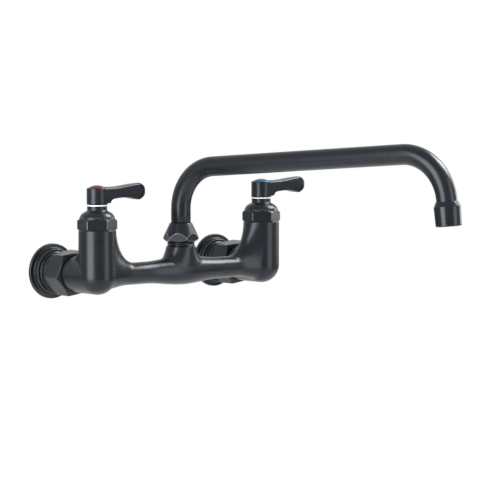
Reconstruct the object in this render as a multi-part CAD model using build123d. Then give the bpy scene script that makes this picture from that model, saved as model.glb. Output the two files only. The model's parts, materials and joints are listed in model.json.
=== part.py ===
# Commercial wall faucet: two quarter-turn valves on a cast mixing body, fed by
# two wall inlets on eight-inch centres, with a swivelling tube spout.
#
# Frame: X runs along the body (hot valve at -X, cold valve at +X), +Y points
# into the wall and +Z up. The wall is the plane Y = 0, and the origin lies
# halfway between the two inlets. Lengths are in millimetres, angles in
# degrees. Every piece is written to parts/ under its own name.

from build123d import *
from math import asin, cos, pi, radians, sin, sqrt, tan
import os

# ---------------------------------------------------------------- setting out
inlet_centres = 203.2          # eight inches, wall inlet to wall inlet
wall_to_riser = 75.0           # wall face to the valve axes
swivel_setback = 1.0           # the spout's axis lies this much nearer the wall
turning_gap = 0.1              # between faces that turn on each other
screwed_gap = 0.2              # between pieces that are screwed together

# --------------------------------------------------------------- mixing body
riser_radius = 17.8
riser_height = 44.0            # inlet axis to the riser's top face
riser_edge = 0.8
crossbar_radius = 10.6
belly_radius = 13.9            # thickest point of the crossbar, under the spout
belly_half_length = 46.0
flare_radius = 26.0            # cast fillet from crossbar to riser
stub_length = 32.0             # valve axis to the stub's shoulder
crossbar_bore_radius = 6.5
inlet_bore_radius = 7.5
passage_radius = 4.5           # slanting way from a valve chamber to the crossbar
passage_reach = 38.0           # valve axis to where that way meets the crossbar

boss_radius = 15.1
boss_height = 23.3             # inlet axis to the top of the spout boss
neck_radius = 13.2             # male thread that carries the spout nut
neck_height = 33.0
neck_ridge = 0.6               # thread crests left bare below the spout nut
ridge_pitch = 2.3
ridge_half_width = 1.0
socket_floor = 6.0
boss_root = 2.0                # height at which the boss leaves the crossbar

# ------------------------------------------------------------- valve chamber
seat_height = 12.0             # ledge that the cartridge is sealed on
seat_bore_radius = 6.0
chamber_radius = 11.0
shoulder_depth = 14.0          # riser's top to the ledge that carries the cartridge
bonnet_thread_radius = 12.5

# ----------------------------------------------------------------- cartridge
seal_thickness = 2.0
seal_inner_radius = 5.2
cage_radius = 9.2
cage_bore = 7.9                # the ceramic discs turn in it
disc_thickness = 3.0
port_radius = 2.2
port_offset = 4.6
window_height = 5.0
window_width = 9.0
housing_flange_thickness = 3.5
housing_radius = 9.5
housing_lip = 1.5              # how far the journal's bore reaches below the ledge
housing_step_depth = 14.9      # collar's top to where the housing narrows to its neck
housing_neck_radius = 7.0
housing_top_depth = 4.4        # collar's top to the end of the housing
stem_radius = 4.5
stem_waist_radius = 3.6
stem_foot_thickness = 2.0
spline_radius = 4.0
ring_section = 0.8             # radius of an O-ring's section
ring_sides = 8
groove_gap = 0.1               # room for an O-ring on each side of its groove
stem_ring_rise = 1.0           # riser's top to the stem's O-ring
clip_thickness = 0.8
clip_radius = 6.2

# ---------------------------------------------------------------- bonnet nut
bonnet_across_flats = 33.0
bonnet_hex_height = 9.0
bonnet_dome_radius = 17.0      # where the dome meets the hexagon
bonnet_chamfer = 1.2
bonnet_spigot = 9.8            # threaded length inside the riser
bonnet_turn = 23.2             # hexagon, turned about the valve axis
collar_radius = 9.5
collar_rise = 17.4             # riser's top to the foot of the collar
collar_length = 5.0
collar_root = 0.6              # how far the dome spreads at the collar's foot
glide_washer_thickness = 0.9

# -------------------------------------------------------------- lever handle
hub_radius = 9.9
hub_height = 15.8
lever_length = 55.6            # valve axis to the tip
lever_tip_radius = 5.8         # round end of the blade, seen from above
blade_rise = 5.4               # hub's bottom to the underside of the blade
blade_crown = 2.3              # blade's highest point over the hub's top
crown_reach = 43.0             # valve axis to that highest point
blade_root_drop = 1.9          # blade's top under the hub's top, where they meet
blade_edge = 1.6               # rounding along the upper edges
heel_length = 5.2              # soft corner under the blade, along the blade
heel_depth = 3.2               # and down the hub
tip_drop = 2.1                 # how far the flared tip hangs below the blade
nose_height = 11.6             # hub's bottom to the foremost point of the tip
nose_length = 6.7              # foremost point to the lowest point of the tip
flare_length = 16.0            # lowest point of the tip to where the flare starts
button_radius = 8.4
button_plug = 2.6              # how deep the button sits in the hub
button_dome = 2.6
screw_radius = 1.9
screw_head_radius = 3.5
screw_head_height = 2.4
screw_length = 10.0
screw_floor = 0.6              # metal under the screw's head
screw_slot = 0.8
spline_depth = 9.2

# --------------------------------------------------------------------- spout
reach = 304.8                  # twelve inches, swivel axis to outlet
tube_radius = 9.525            # three-quarter inch tube
tube_wall = 1.25
arm_height = 99.0              # arm's axis over the inlet axis, at the swivel
arm_rise = 4.25                # slope of the arm
first_bend = 42.0
last_bend = 44.6
outlet_lean = 5.4              # the outlet points slightly outwards
tube_above_collar = 0.67       # straight tube between the last bend and the collar
swing = 13.2                   # rest position, from straight out towards +X
spigot_radius = 10.25
spigot_bore = 7.4
spigot_clearance = 0.05
spigot_flange_radius = 12.3
spigot_flange_thickness = 2.0
tube_seat = 5.2                # how deep the tube sits in the spigot
glide_ring_thickness = 1.8

spout_nut_bottom = 28.2
spout_nut_widest = 30.9
spout_nut_top = 46.0
spout_nut_top_radius = 10.7
spout_nut_across_corners = 35.8
spout_nut_across_flats = 30.2
spout_nut_turn = 11.0
spout_nut_foot = 2.2           # how far the nut draws in below its widest point
spout_nut_edge = 0.4           # its rounded corners

# -------------------------------------------------------------------- outlet
outlet_bottom_radius = 11.7
outlet_top_radius = 12.3
outlet_body = 17.9
outlet_shoulder = 4.5
outlet_edge = 0.8
outlet_land = 0.6              # flat ring where the collar meets the tube
outlet_bore_radius = 10.3
outlet_bore_depth = 13.0
outlet_stop = 1.0              # ledge between the bore and the tube's seat
aerator_wall = 0.9
aerator_foot = 0.4             # outlet's rim to the shell
aerator_lip = 1.0
aerator_lip_width = 2.2
aerator_holes = 12
aerator_hole_radius = 0.8
jet_plate_rim = 1.2
screen_slot = 1.2
screen_thickness = 0.5
outlet_washer_thickness = 1.8

# ------------------------------------------------------------ wall connection
coupling_thread_radius = 15.0
coupling_thread_length = 13.0
coupling_across_flats = 40.0
coupling_start = 33.2          # valve axis to the near end of the coupling nut
coupling_length = 22.5
coupling_chamfer = 2.0
coupling_turn = 9.0            # hexagon, turned about the inlet's axis
union_washer_thickness = 2.0
union_washer_inset = 1.0       # how far the washer stays clear of the bore
shank_radius = 12.9
shank_collar_thickness = 3.0
pipe_thread_radius = 9.25      # half-inch taper pipe thread, cut female
pipe_thread_depth = 15.0
flange_radius = 26.7
flange_rim = 3.0
flange_ring_radius = 20.0
flange_ring_rise = 5.5
flange_hub_radius = 17.0
flange_edge = 0.6              # its rounded corners
flange_face = 3.4              # width of the rim's nearly flat face
flange_ledge = 1.6             # width of the ring's flat face

# ------------------------------------------------------------ worked-out sizes
valve_x = inlet_centres / 2
shoulder_height = riser_height - shoulder_depth
collar_bottom = riser_height + collar_rise
collar_top = collar_bottom + collar_length
housing_step_height = collar_top - housing_step_depth
housing_height = collar_top - housing_top_depth
stem_ring_height = riser_height + stem_ring_rise
hub_bottom = collar_top + glide_washer_thickness + turning_gap
hub_top = hub_bottom + hub_height
disc_bottom = seat_height + seal_thickness
disc_radius = cage_bore - turning_gap
upper_disc_bottom = disc_bottom + disc_thickness + turning_gap / 2
stem_bottom = upper_disc_bottom + disc_thickness
stem_top = hub_bottom + spline_depth


# ------------------------------------------------------------ shared helpers
def turned(*outline):
    """A turned piece about Z: the outline gives its (radius, height) points."""
    return revolve(Plane.XZ * make_face(Polyline(*outline, close=True)), Axis.Z)


def tube(outer, inner, bottom, top):
    """A plain ring or sleeve about Z."""
    return turned((inner, bottom), (outer, bottom), (outer, top), (inner, top))


def rod(radius, bottom, top):
    """A plain cylinder about Z, from one height to another."""
    return Pos(0, 0, (bottom + top) / 2) * Cylinder(radius, top - bottom)


def hexagon(across_flats, bottom, top, turn=0.0):
    """A hexagonal bar about Z, turned from having its corners on X."""
    outline = RegularPolygon(across_flats / 2, 6, major_radius=False)
    return Pos(0, 0, bottom) * Rot(0, 0, turn) * extrude(outline, top - bottom)


def o_ring(outer, height):
    """An O-ring about Z, by the radius that it reaches and its height."""
    section = Pos(outer - ring_section, height) * RegularPolygon(ring_section, ring_sides)
    return revolve(Plane.XZ * section, Axis.Z)


def at_valve(side, piece):
    """Moves a piece that was made about Z to a valve: -1 is hot, +1 is cold."""
    return Pos(side * valve_x, -wall_to_riser, 0) * piece


def at_inlet(side, piece):
    """Turns a piece made about Z so that Z runs from the valve to the wall."""
    return Pos(side * valve_x, -wall_to_riser, 0) * Rot(-90, 0, 0) * piece


def at_swivel(piece):
    """Moves a piece that was made about Z to the spout's swivel axis."""
    return Pos(0, swivel_setback - wall_to_riser, 0) * piece


# --------------------------------------------------------------- mixing body
def riser_end():
    """The cold end of the casting: riser, rounded elbow, flared crossbar, stub."""
    riser = rod(riser_radius, 0, riser_height) + Sphere(riser_radius)
    riser = chamfer(riser.edges().sort_by(Axis.Z)[-1], riser_edge)
    bar_length = valve_x - belly_half_length
    bar = Pos(-bar_length / 2, 0, 0) * Rot(0, 90, 0) * Cylinder(crossbar_radius, bar_length)
    end = riser + bar
    joint = [edge for edge in end.edges().filter_by(GeomType.BSPLINE)
             if edge.center().X > -riser_radius]
    end = fillet(joint, flare_radius)
    return end + Rot(-90, 0, 0) * rod(riser_radius, 0, stub_length)


def crossbar_belly():
    """The middle of the crossbar, which swells in two smooth arcs a side."""
    half = belly_half_length / 2
    middle = (belly_radius + crossbar_radius) / 2
    sag = (belly_radius - crossbar_radius) / 2
    arc_radius = (half * half + sag * sag) / (2 * sag)
    crown = RadiusArc((-half, middle), (half, middle), arc_radius)
    left = RadiusArc((-2 * half, crossbar_radius), (-half, middle), -arc_radius)
    right = RadiusArc((half, middle), (2 * half, crossbar_radius), -arc_radius)
    base = Polyline((2 * half, crossbar_radius), (2 * half, 0), (-2 * half, 0),
                    (-2 * half, crossbar_radius))
    outline = make_face([left, crown, right, base])
    return revolve(Plane.XZ * outline, Axis.X)


def boss_section(height, width, depth):
    """One level of the spout boss: an ellipse, wide along the crossbar."""
    return Pos(0, 0, height) * Ellipse(width, depth)


def spout_boss():
    """The boss for the spout: round on top, spreading along the crossbar."""
    levels = [
        boss_section(boss_root, 1.9 * boss_radius, 0.91 * boss_radius),
        boss_section(0.37 * boss_height, 1.34 * boss_radius, 0.98 * boss_radius),
        boss_section(0.62 * boss_height, 1.12 * boss_radius, boss_radius),
        boss_section(boss_height, boss_radius, boss_radius),
    ]
    return loft(levels)


def spout_neck():
    """The threaded neck on the boss, with its last crests left bare."""
    crest, root = neck_radius + neck_ridge, neck_radius - neck_ridge
    neck = rod(root, boss_height - ridge_pitch, neck_height)
    for turn in range(2):
        middle = boss_height + ridge_pitch * (turn + 0.5)
        low, high = middle - ridge_half_width, middle + ridge_half_width
        neck += turned((0, low), (root, low), (crest, middle), (root, high), (0, high))
    return neck + rod(neck_radius, boss_height + 2 * ridge_pitch, neck_height)


def valve_chamber():
    """What is cut out of a riser: seat bore, wet chamber and bonnet thread."""
    return (rod(seat_bore_radius, 0, seat_height)
            + rod(chamber_radius, seat_height, shoulder_height)
            + rod(bonnet_thread_radius, shoulder_height, riser_height))


def slanting_passage():
    """The way from the cold valve chamber down to the crossbar's bore."""
    start = Vector(0, 0, (seat_height + shoulder_height) / 2)
    end = Vector(-passage_reach, 0, 0)
    line = Edge.make_line(start, end)
    return sweep(Plane(start, z_dir=end - start) * Circle(passage_radius), path=line)


def mixing_body():
    """The casting: both risers, the crossbar, the spout boss and the water ways."""
    swivel = Pos(0, swivel_setback, 0)
    socket = rod(spigot_radius + spigot_clearance, socket_floor, neck_height)
    bore_length = 2 * (valve_x - passage_reach)
    body = crossbar_belly() + swivel * (spout_boss() + spout_neck())
    ways = Rot(0, 90, 0) * Cylinder(crossbar_bore_radius, bore_length)
    ways += swivel * (socket + rod(spigot_bore, 0, socket_floor))
    stub_end = stub_length + coupling_thread_length
    end = riser_end() + Rot(-90, 0, 0) * rod(coupling_thread_radius, 0, stub_end)
    end_ways = valve_chamber() + slanting_passage()
    end_ways += Rot(-90, 0, 0) * rod(inlet_bore_radius, 0, stub_end)
    for side in (-1, 1):
        cold_end = Pos(valve_x, 0, 0) * end
        cold_ways = Pos(valve_x, 0, 0) * end_ways
        body += cold_end if side > 0 else mirror(cold_end, Plane.YZ)
        ways += cold_ways if side > 0 else mirror(cold_ways, Plane.YZ)
    return Pos(0, -wall_to_riser, 0) * (body - ways)


# ----------------------------------------------------------------- cartridge
def seat_seal():
    """The rubber ring between the chamber's ledge and the cartridge."""
    return tube(cage_radius, seal_inner_radius, seat_height, disc_bottom)


def ported_disc(bottom, turn):
    """A ceramic disc with two round ports, turned to the closed or open line."""
    disc = rod(disc_radius, bottom, bottom + disc_thickness)
    for side in (-1, 1):
        port = Pos(side * port_offset, 0, 0) * rod(port_radius, bottom, bottom + disc_thickness)
        disc -= Rot(0, 0, turn) * port
    return disc


def cartridge_housing():
    """The brass housing: a cage with windows, a flange, a barrel and a neck."""
    flange_top = shoulder_height + housing_flange_thickness
    bore = stem_radius + turning_gap
    housing = turned((cage_bore, disc_bottom), (cage_radius, disc_bottom),
                     (cage_radius, shoulder_height),
                     (bonnet_thread_radius - screwed_gap, shoulder_height),
                     (bonnet_thread_radius - screwed_gap, flange_top),
                     (housing_radius, flange_top), (housing_radius, housing_step_height),
                     (housing_neck_radius, housing_step_height),
                     (housing_neck_radius, housing_height), (bore, housing_height),
                     (bore, shoulder_height - housing_lip),
                     (cage_bore, shoulder_height - housing_lip))
    window_bottom = stem_bottom + stem_foot_thickness / 2
    window = Pos(0, 0, window_bottom + window_height / 2) * Box(
        3 * cage_radius, window_width, window_height)
    return housing - window


def housing_ring():
    """The O-ring between the housing's barrel and the bonnet nut."""
    return o_ring(housing_radius + 2 * ring_section, shoulder_height + housing_flange_thickness
                  + ring_section)


def valve_stem():
    """The stem: a foot that drives the upper disc, a journal and a spline."""
    foot_top = stem_bottom + stem_foot_thickness
    journal_bottom = shoulder_height - housing_lip
    groove = stem_radius - 2 * ring_section
    groove_bottom = stem_ring_height - ring_section - groove_gap
    groove_top = stem_ring_height + ring_section + groove_gap
    clip_bottom = housing_height + turning_gap
    clip_top = clip_bottom + clip_thickness
    spline_bottom = hub_bottom - glide_washer_thickness / 2
    stem = turned((0, stem_bottom), (disc_radius, stem_bottom), (disc_radius, foot_top),
                  (stem_waist_radius, foot_top), (stem_waist_radius, journal_bottom),
                  (stem_radius, journal_bottom),
                  (stem_radius, groove_bottom), (groove, groove_bottom),
                  (groove, groove_top), (stem_radius, groove_top),
                  (stem_radius, clip_bottom), (spline_radius, clip_bottom),
                  (spline_radius, clip_top), (stem_radius, clip_top),
                  (stem_radius, spline_bottom), (spline_radius, spline_bottom),
                  (spline_radius, stem_top), (0, stem_top))
    return stem - rod(screw_radius, stem_top - screw_length, stem_top)


def stem_ring():
    """The O-ring in the stem's groove."""
    return o_ring(stem_radius, stem_ring_height)


def stem_clip():
    """The open spring clip that keeps the stem in its housing."""
    bottom = housing_height + turning_gap
    clip = tube(clip_radius, spline_radius, bottom, bottom + clip_thickness)
    gap = Pos(0, clip_radius, bottom) * Box(spline_radius, 2 * clip_radius, 4 * clip_thickness)
    return clip - gap


# ---------------------------------------------------------------- bonnet nut
def bonnet_nut():
    """The hexagonal nut with its dome and collar, which holds the cartridge."""
    corner = bonnet_across_flats / 2 / cos(pi / 6)
    hex_top = riser_height + bonnet_hex_height
    crown = hex_top + 0.75 * bonnet_chamfer
    shape = hexagon(bonnet_across_flats, riser_height, crown, bonnet_turn)
    shape = shape & turned((0, riser_height), (corner - bonnet_chamfer, riser_height),
                           (corner, riser_height + bonnet_chamfer / 2),
                           (corner, crown - bonnet_chamfer),
                           (bonnet_dome_radius, crown), (0, crown))
    neck_side = collar_radius + collar_root
    middle = (0.6 * bonnet_dome_radius + 0.4 * neck_side, 0.4 * hex_top + 0.6 * collar_bottom)
    dome_arc = ThreePointArc((bonnet_dome_radius, hex_top), middle, (neck_side, collar_bottom))
    dome_rest = Polyline((neck_side, collar_bottom), (collar_radius, collar_bottom + collar_root),
                         (collar_radius, collar_top), (0, collar_top), (0, riser_height),
                         (bonnet_dome_radius, riser_height), (bonnet_dome_radius, hex_top))
    shape += revolve(Plane.XZ * make_face([dome_arc, dome_rest]), Axis.Z)
    spigot = bonnet_thread_radius - screwed_gap
    flange_top = shoulder_height + housing_flange_thickness + turning_gap
    shape += rod(spigot, max(flange_top, riser_height - bonnet_spigot), riser_height)
    shape -= rod(housing_radius + screwed_gap, 0, housing_step_height + screwed_gap)
    ring_top = flange_top + 2 * ring_section + 2 * groove_gap
    shape -= rod(housing_radius + 2 * ring_section + groove_gap, 0, ring_top)
    return shape - rod(housing_neck_radius + screwed_gap, 0, collar_top)


def glide_washer():
    """The pale nylon washer that the handle turns on."""
    return tube(collar_radius - turning_gap, housing_neck_radius, collar_top,
                collar_top + glide_washer_thickness)


# -------------------------------------------------------------- lever handle
def lever_side():
    """The lever seen from the front: a crowned blade, a round nose, a flared end."""
    under = hub_bottom + blade_rise
    over = hub_top + blade_crown
    nose = hub_bottom + nose_height
    tip = lever_length
    low = (tip - nose_length, under - tip_drop)
    flare_start = (low[0] - flare_length, under + 0.2 * tip_drop)
    heel = (hub_radius + heel_length, under)
    root = hub_top - blade_root_drop
    top = TangentArc((crown_reach, over), (hub_radius, root), tangent=(-1, 0))
    end = Spline((crown_reach, over), (tip - 0.6 * nose_length, over - 0.25 * blade_crown),
                 (tip, nose), low, tangents=((1, 0), (-1, -0.1)))
    flare = Spline(low, flare_start, heel, tangents=((-1, 0.1), (-1, -0.1)))
    heel_arc = TangentArc(heel, (hub_radius, under - heel_depth), tangent=(-1, 0))
    inside = Polyline((hub_radius, under - heel_depth), (0, under - heel_depth), (0, root),
                      (hub_radius, root))
    return Plane.XZ * make_face([top, end, flare, heel_arc, inside])


def lever_plan():
    """The lever seen from above: sides that taper from the hub to a round end."""
    end_x = lever_length - lever_tip_radius
    turn = asin((hub_radius - lever_tip_radius) / end_x)
    near = (hub_radius * sin(turn), hub_radius * cos(turn))
    far = (end_x + lever_tip_radius * sin(turn), lever_tip_radius * cos(turn))
    outline = Polyline((near[0], -near[1]), (far[0], -far[1]), far, near, close=True)
    return make_face(outline) + Pos(end_x, 0) * Circle(lever_tip_radius)


def lever_blade():
    """The blade: its side view, cut to its tapered plan, its upper edges rounded."""
    side = extrude(lever_side(), hub_radius, both=True)
    blade = side & Pos(0, 0, hub_bottom) * extrude(lever_plan(), 2 * hub_height)
    upper = [edge for edge in blade.edges()
             if abs(edge.center().Y) > lever_tip_radius and edge.center().Z > hub_top]
    return fillet(upper, blade_edge)


def lever_handle():
    """The handle: hub and blade, bored for the stem, its screw and the button."""
    hub = rod(hub_radius, hub_bottom, hub_top)
    handle = hub + lever_blade()
    screw_seat = stem_top + turning_gap + screw_floor
    handle -= rod(spline_radius, hub_bottom, stem_top)
    handle -= rod(stem_radius + turning_gap, hub_bottom, hub_bottom + glide_washer_thickness)
    handle -= rod(screw_radius + turning_gap, stem_top, screw_seat)
    handle -= rod(screw_head_radius + screwed_gap, screw_seat, hub_top)
    handle -= rod(button_radius, hub_top - button_plug, hub_top + 2 * blade_crown)
    return handle


def handle_screw():
    """The screw that holds the handle on its stem, with a driver slot."""
    seat = stem_top + turning_gap + screw_floor
    screw = rod(screw_radius, seat - screw_length, seat) + rod(
        screw_head_radius, seat, seat + screw_head_height)
    slot = Pos(0, 0, seat + screw_head_height) * Box(
        3 * screw_head_radius, screw_slot, 2 * screw_slot)
    return screw - slot


def index_button():
    """The coloured button that covers the screw: a plug with a domed face."""
    bottom = hub_top - button_plug
    dome = TangentArc((0, hub_top + button_dome), (button_radius, hub_top), tangent=(1, 0))
    rest = Polyline((0, hub_top + button_dome), (0, bottom), (button_radius, bottom),
                    (button_radius, hub_top))
    return revolve(Plane.XZ * make_face([dome, rest]), Axis.Z)


# --------------------------------------------------------------------- spout
def outlet_drop():
    """The length of the outlet's axis, from its bottom up to the arm's line."""
    turn = radians(90 + arm_rise - outlet_lean)
    straight = outlet_body + outlet_shoulder + tube_above_collar
    return last_bend * tan(turn / 2) + straight


def outlet_corner():
    """Where the arm's line and the outlet's line cross, in the spout's plane."""
    x = reach - outlet_drop() * sin(radians(outlet_lean))
    return x, arm_height + x * tan(radians(arm_rise))


def outlet_point(distance):
    """The point on the outlet's axis that far up from its bottom."""
    lean = radians(outlet_lean)
    x, z = outlet_corner()
    below = outlet_drop() - distance
    return x + below * sin(lean), z - below * cos(lean)


def spout_path():
    """The tube's line: up from the swivel, out along the arm, down to the outlet."""
    corner_x, corner_z = outlet_corner()
    end_x, end_z = outlet_point(outlet_bore_depth)
    return FilletPolyline((0, 0, neck_height - tube_seat + spigot_flange_thickness),
                          (0, 0, arm_height), (corner_x, 0, corner_z), (end_x, 0, end_z),
                          radius=[first_bend, last_bend])


def swung(piece):
    """Turns a piece made in the plane X-Z to the spout's rest position."""
    return at_swivel(Rot(0, 0, swing - 90) * piece)


def spout_tube():
    """The bent tube, of one bore from end to end."""
    path = spout_path()
    start = Plane(path @ 0, z_dir=path % 0)
    ring = Circle(tube_radius) - Circle(tube_radius - tube_wall)
    return sweep(start * ring, path=path)


def spout_spigot():
    """The turned foot brazed to the tube, with two O-ring grooves and a flange."""
    top = neck_height + turning_gap + spigot_flange_thickness
    ledge = top - tube_seat - turning_gap
    bottom = socket_floor + 2 * ring_section
    spigot = turned((spigot_bore, bottom), (spigot_radius, bottom),
                    (spigot_radius, neck_height + turning_gap),
                    (spigot_flange_radius, neck_height + turning_gap),
                    (spigot_flange_radius, top), (tube_radius, top), (tube_radius, ledge),
                    (spigot_bore, ledge))
    for height in ring_heights():
        spigot -= tube(2 * spigot_radius, spigot_radius - 2 * ring_section,
                       height - ring_section - groove_gap, height + ring_section + groove_gap)
    return spigot


def ring_heights():
    """The two O-rings share the spigot's length below the tube's seat."""
    length = neck_height - tube_seat - socket_floor
    return [socket_floor + length * share for share in (0.3, 0.75)]


def spout_rings():
    """The two O-rings that seal the spigot in its socket."""
    rings = [o_ring(spigot_radius, height) for height in ring_heights()]
    return Compound(children=rings)


def glide_ring():
    """The nylon ring that the spout nut presses on the spigot's flange."""
    bottom = neck_height + spigot_flange_thickness + 2 * turning_gap
    return tube(spigot_flange_radius, tube_radius + screwed_gap, bottom,
                bottom + glide_ring_thickness)


def spout_nut():
    """The cone-shaped nut, with six flats that end in arches."""
    widest, edge = spout_nut_across_corners / 2, spout_nut_edge
    roof = neck_height + spigot_flange_thickness + 2 * turning_gap + glide_ring_thickness
    cone = turned((0, spout_nut_bottom), (widest - spout_nut_foot, spout_nut_bottom),
                  (widest - edge, spout_nut_widest - 2 * edge), (widest, spout_nut_widest),
                  (widest - edge, spout_nut_widest + 2 * edge),
                  (spout_nut_top_radius + edge, spout_nut_top - edge),
                  (spout_nut_top_radius, spout_nut_top), (0, spout_nut_top))
    nut = cone & hexagon(spout_nut_across_flats, spout_nut_bottom, spout_nut_top, spout_nut_turn)
    nut -= rod(neck_radius + screwed_gap, 0, neck_height)
    nut -= rod(spigot_flange_radius + screwed_gap, 0, roof)
    return nut - rod(tube_radius + screwed_gap, 0, spout_nut_top)


# -------------------------------------------------------------------- outlet
def at_outlet(piece):
    """Places a piece made about Z with its foot at the spout's outlet."""
    x, z = outlet_point(0)
    return swung(Pos(x, 0, z) * Rot(0, -outlet_lean, 0) * piece)


def outlet_collar():
    """The tapered sleeve on the tube's end, threaded inside for the aerator."""
    top = outlet_body + outlet_shoulder
    stop = outlet_bore_depth - outlet_stop
    return turned((outlet_bore_radius, 0), (outlet_bottom_radius - outlet_edge, 0),
                  (outlet_bottom_radius, outlet_edge), (outlet_top_radius, outlet_body),
                  (tube_radius + outlet_land, top), (tube_radius, top), (tube_radius, outlet_bore_depth),
                  (tube_radius - tube_wall, outlet_bore_depth),
                  (tube_radius - tube_wall, stop), (outlet_bore_radius, stop))


def outlet_washer():
    """The flat rubber ring above the aerator."""
    top = outlet_bore_depth - outlet_stop
    return tube(outlet_bore_radius - screwed_gap, tube_radius - tube_wall,
                top - outlet_washer_thickness, top)


def aerator_shell():
    """The short threaded shell that holds the aerator's inner pieces."""
    top = outlet_bore_depth - outlet_stop - outlet_washer_thickness
    outer = outlet_bore_radius - screwed_gap
    lip_top = aerator_foot + aerator_lip
    return turned((outer - aerator_lip_width, aerator_foot), (outer, aerator_foot),
                  (outer, top), (outer - aerator_wall, top),
                  (outer - aerator_wall, lip_top), (outer - aerator_lip_width, lip_top))


def aerator_insert():
    """The moulded jet plate, with one ring of holes about a middle one."""
    outer = outlet_bore_radius - screwed_gap - aerator_wall
    bottom = aerator_foot + aerator_lip + screen_thickness
    top = outlet_bore_depth - outlet_stop - outlet_washer_thickness
    insert = rod(outer, bottom, top)
    insert -= rod(outer - jet_plate_rim, bottom, (bottom + top) / 2)
    for hole in range(aerator_holes):
        jet = Pos(0.62 * outer, 0, 0) * rod(aerator_hole_radius, bottom, top)
        insert -= Rot(0, 0, 360 * hole / aerator_holes) * jet
    return insert


def aerator_screen():
    """The stiff mesh disc at the outlet, drawn as a plain disc with slots."""
    outer = outlet_bore_radius - screwed_gap - aerator_wall
    bottom = aerator_foot + aerator_lip
    screen = rod(outer, bottom, bottom + screen_thickness)
    for row in range(-2, 3):
        place = 2 * screen_slot * row
        width = 1.5 * sqrt(outer * outer - (place + screen_slot) ** 2)
        screen -= Pos(0, place, bottom) * Box(width, screen_slot, 4 * screen_thickness)
    return screen


# ------------------------------------------------------------ wall connection
def shank_start():
    """Distance from the valve axis to the shank's collar."""
    return stub_length + coupling_thread_length + union_washer_thickness


def union_washer():
    """The flat rubber washer between the body's stub and the shank."""
    start = stub_length + coupling_thread_length
    return tube(coupling_thread_radius - screwed_gap, inlet_bore_radius + union_washer_inset, start,
                start + union_washer_thickness)


def inlet_shank():
    """The pipe between the coupling nut and the wall, threaded for the supply."""
    start = shank_start()
    collar_end = start + shank_collar_thickness
    shank = turned((0, start), (coupling_thread_radius - screwed_gap, start),
                   (coupling_thread_radius - screwed_gap, collar_end),
                   (shank_radius, collar_end), (shank_radius, wall_to_riser), (0, wall_to_riser))
    shank -= rod(inlet_bore_radius, start, wall_to_riser)
    return shank - rod(pipe_thread_radius, wall_to_riser - pipe_thread_depth, wall_to_riser)


def coupling_nut():
    """The hexagonal nut that draws the shank against the body's stub."""
    end = coupling_start + coupling_length
    corner = coupling_across_flats / 2 / cos(pi / 6)
    flat = coupling_across_flats / 2
    nut = hexagon(coupling_across_flats, coupling_start, end, -coupling_turn)
    nut = nut & turned((0, coupling_start), (flat - screwed_gap, coupling_start),
                       (corner, coupling_start + coupling_chamfer),
                       (corner, end - coupling_chamfer), (flat - screwed_gap, end), (0, end))
    roof = shank_start() + shank_collar_thickness + screwed_gap
    nut -= rod(coupling_thread_radius, coupling_start, roof)
    return nut - rod(shank_radius + screwed_gap, coupling_start, end)


def wall_flange():
    """The stepped cover plate that slides along the shank to the wall."""
    wall = wall_to_riser
    hub_end = coupling_start + coupling_length + screwed_gap
    front = wall - flange_rim
    ring = front - flange_ring_rise
    bore = shank_radius + screwed_gap
    return turned((bore, wall), (flange_radius, wall), (flange_radius, front + flange_edge),
                  (flange_radius - flange_edge, front),
                  (flange_radius - flange_face, front - flange_edge / 2),
                  (flange_ring_radius + flange_edge, ring + flange_edge),
                  (flange_ring_radius, ring), (flange_ring_radius - flange_ledge, ring),
                  (flange_hub_radius + flange_edge, ring - flange_ledge),
                  (flange_hub_radius, ring - flange_ledge - flange_edge),
                  (flange_hub_radius, hub_end + flange_edge),
                  (flange_hub_radius - flange_edge, hub_end), (bore, hub_end))


# ------------------------------------------------------------------ assembly
def valve_pieces():
    """The pieces of one valve, made about Z, in the order they go in."""
    return {
        "seat_seal": seat_seal(),
        "fixed_disc": ported_disc(disc_bottom, 0),
        "turning_disc": ported_disc(upper_disc_bottom, 90),
        "cartridge_housing": cartridge_housing(),
        "housing_o_ring": housing_ring(),
        "valve_stem": valve_stem(),
        "stem_o_ring": stem_ring(),
        "stem_clip": stem_clip(),
        "bonnet_nut": bonnet_nut(),
        "glide_washer": glide_washer(),
        "lever_handle": lever_handle(),
        "handle_screw": handle_screw(),
        "index_button": index_button(),
    }


def inlet_pieces():
    """The pieces of one wall connection, made about Z from the valve axis."""
    return {
        "union_washer": union_washer(),
        "coupling_nut": coupling_nut(),
        "inlet_shank": inlet_shank(),
        "wall_flange": wall_flange(),
    }


def spout_pieces():
    """The pieces at the swivel and the outlet, in their rest position."""
    return {
        "spout_tube": swung(spout_tube()),
        "spout_spigot": at_swivel(spout_spigot()),
        "spout_o_rings": at_swivel(spout_rings()),
        "spout_glide_ring": at_swivel(glide_ring()),
        "spout_nut": at_swivel(spout_nut()),
        "outlet_collar": at_outlet(outlet_collar()),
        "outlet_washer": at_outlet(outlet_washer()),
        "aerator_shell": at_outlet(aerator_shell()),
        "aerator_insert": at_outlet(aerator_insert()),
        "aerator_screen": at_outlet(aerator_screen()),
    }


def faucet():
    """Every piece of the faucet, by name."""
    pieces = {"mixing_body": mixing_body()}
    valve, inlet = valve_pieces(), inlet_pieces()
    for side, water in ((-1, "hot"), (1, "cold")):
        for name, piece in valve.items():
            pieces[f"{water}_{name}"] = at_valve(side, piece)
        for name, piece in inlet.items():
            pieces[f"{water}_{name}"] = at_inlet(side, piece)
    pieces.update(spout_pieces())
    return pieces


os.makedirs("parts", exist_ok=True)
for name, piece in faucet().items():
    export_step(piece, f"parts/{name}.step")
    print(name, round(piece.volume), "mm3")
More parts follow.
